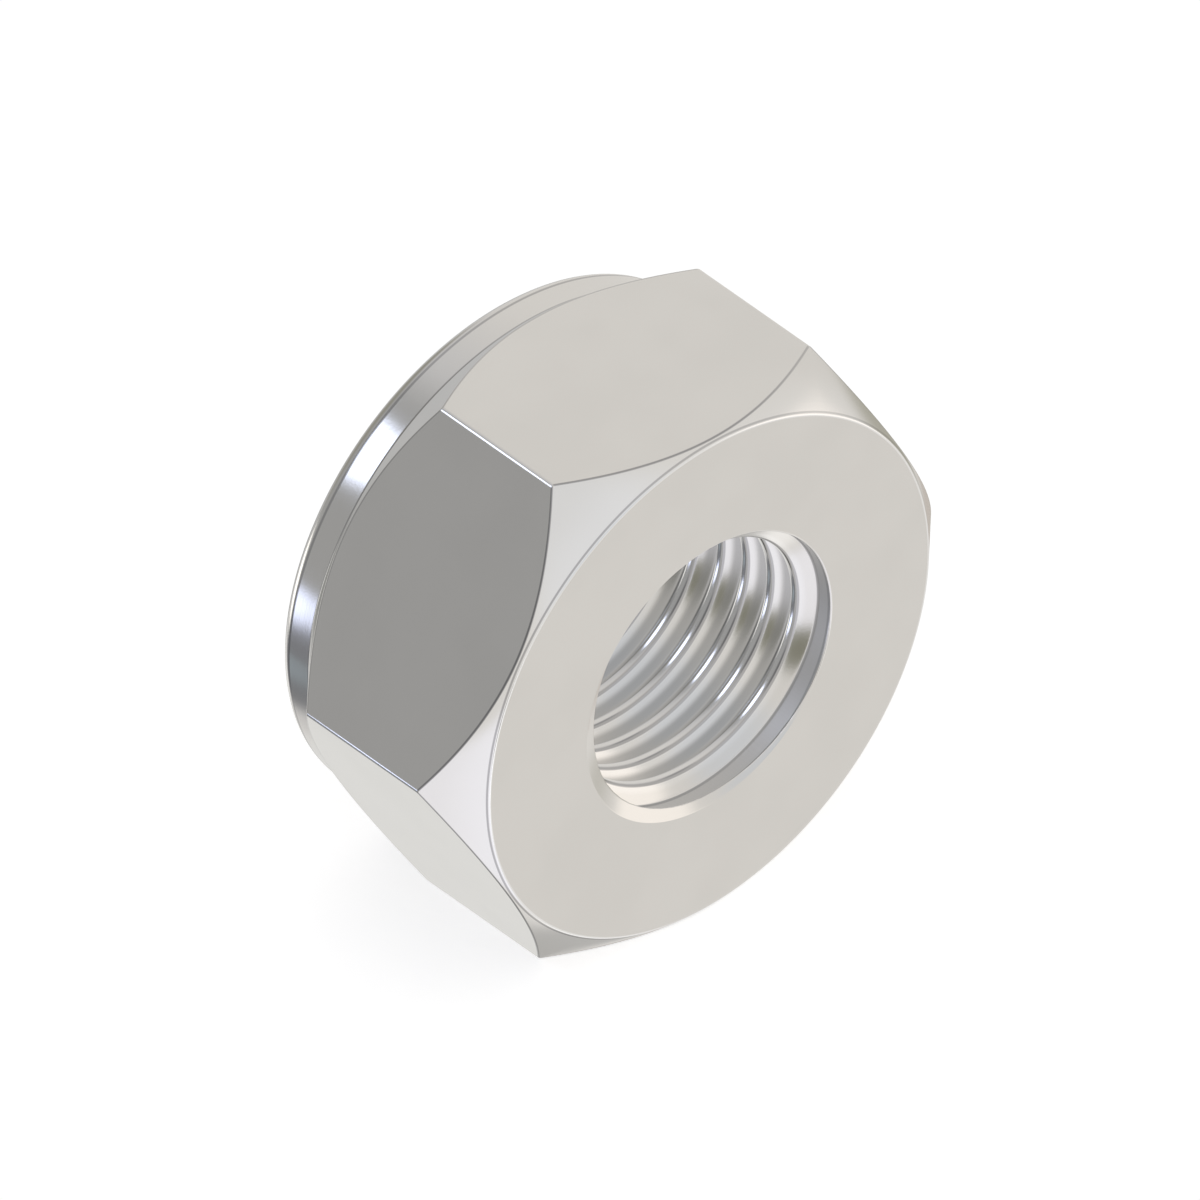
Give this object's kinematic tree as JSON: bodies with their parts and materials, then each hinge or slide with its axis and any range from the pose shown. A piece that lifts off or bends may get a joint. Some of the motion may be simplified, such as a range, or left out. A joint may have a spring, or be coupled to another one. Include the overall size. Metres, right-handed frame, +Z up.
{
  "type": "hex lock nut",
  "caption": "Hexagon lock nut with chamfered corners, a threaded bore and a round collar that holds a locking ring, for a bolt that must not work loose.",
  "frame": {"origin": "centre of the footprint of the nut, which stands on one wrench flat", "axes": "+Z up through the opposite wrench flat; the thread's axis is level along Y, with the bearing face towards -Y and the collar towards +Y; +X across two corners"},
  "size_m": [0.0202, 0.0092, 0.0175],
  "materials": {
    "plated_steel": "bright plated steel, smooth, with a soft sheen",
    "ring_plastic": "natural off-white moulded polymer"
  },
  "bodies": {
    "root": {"nut_body": "plated_steel", "locking_ring": "ring_plastic"}
  },
  "joints": []
}
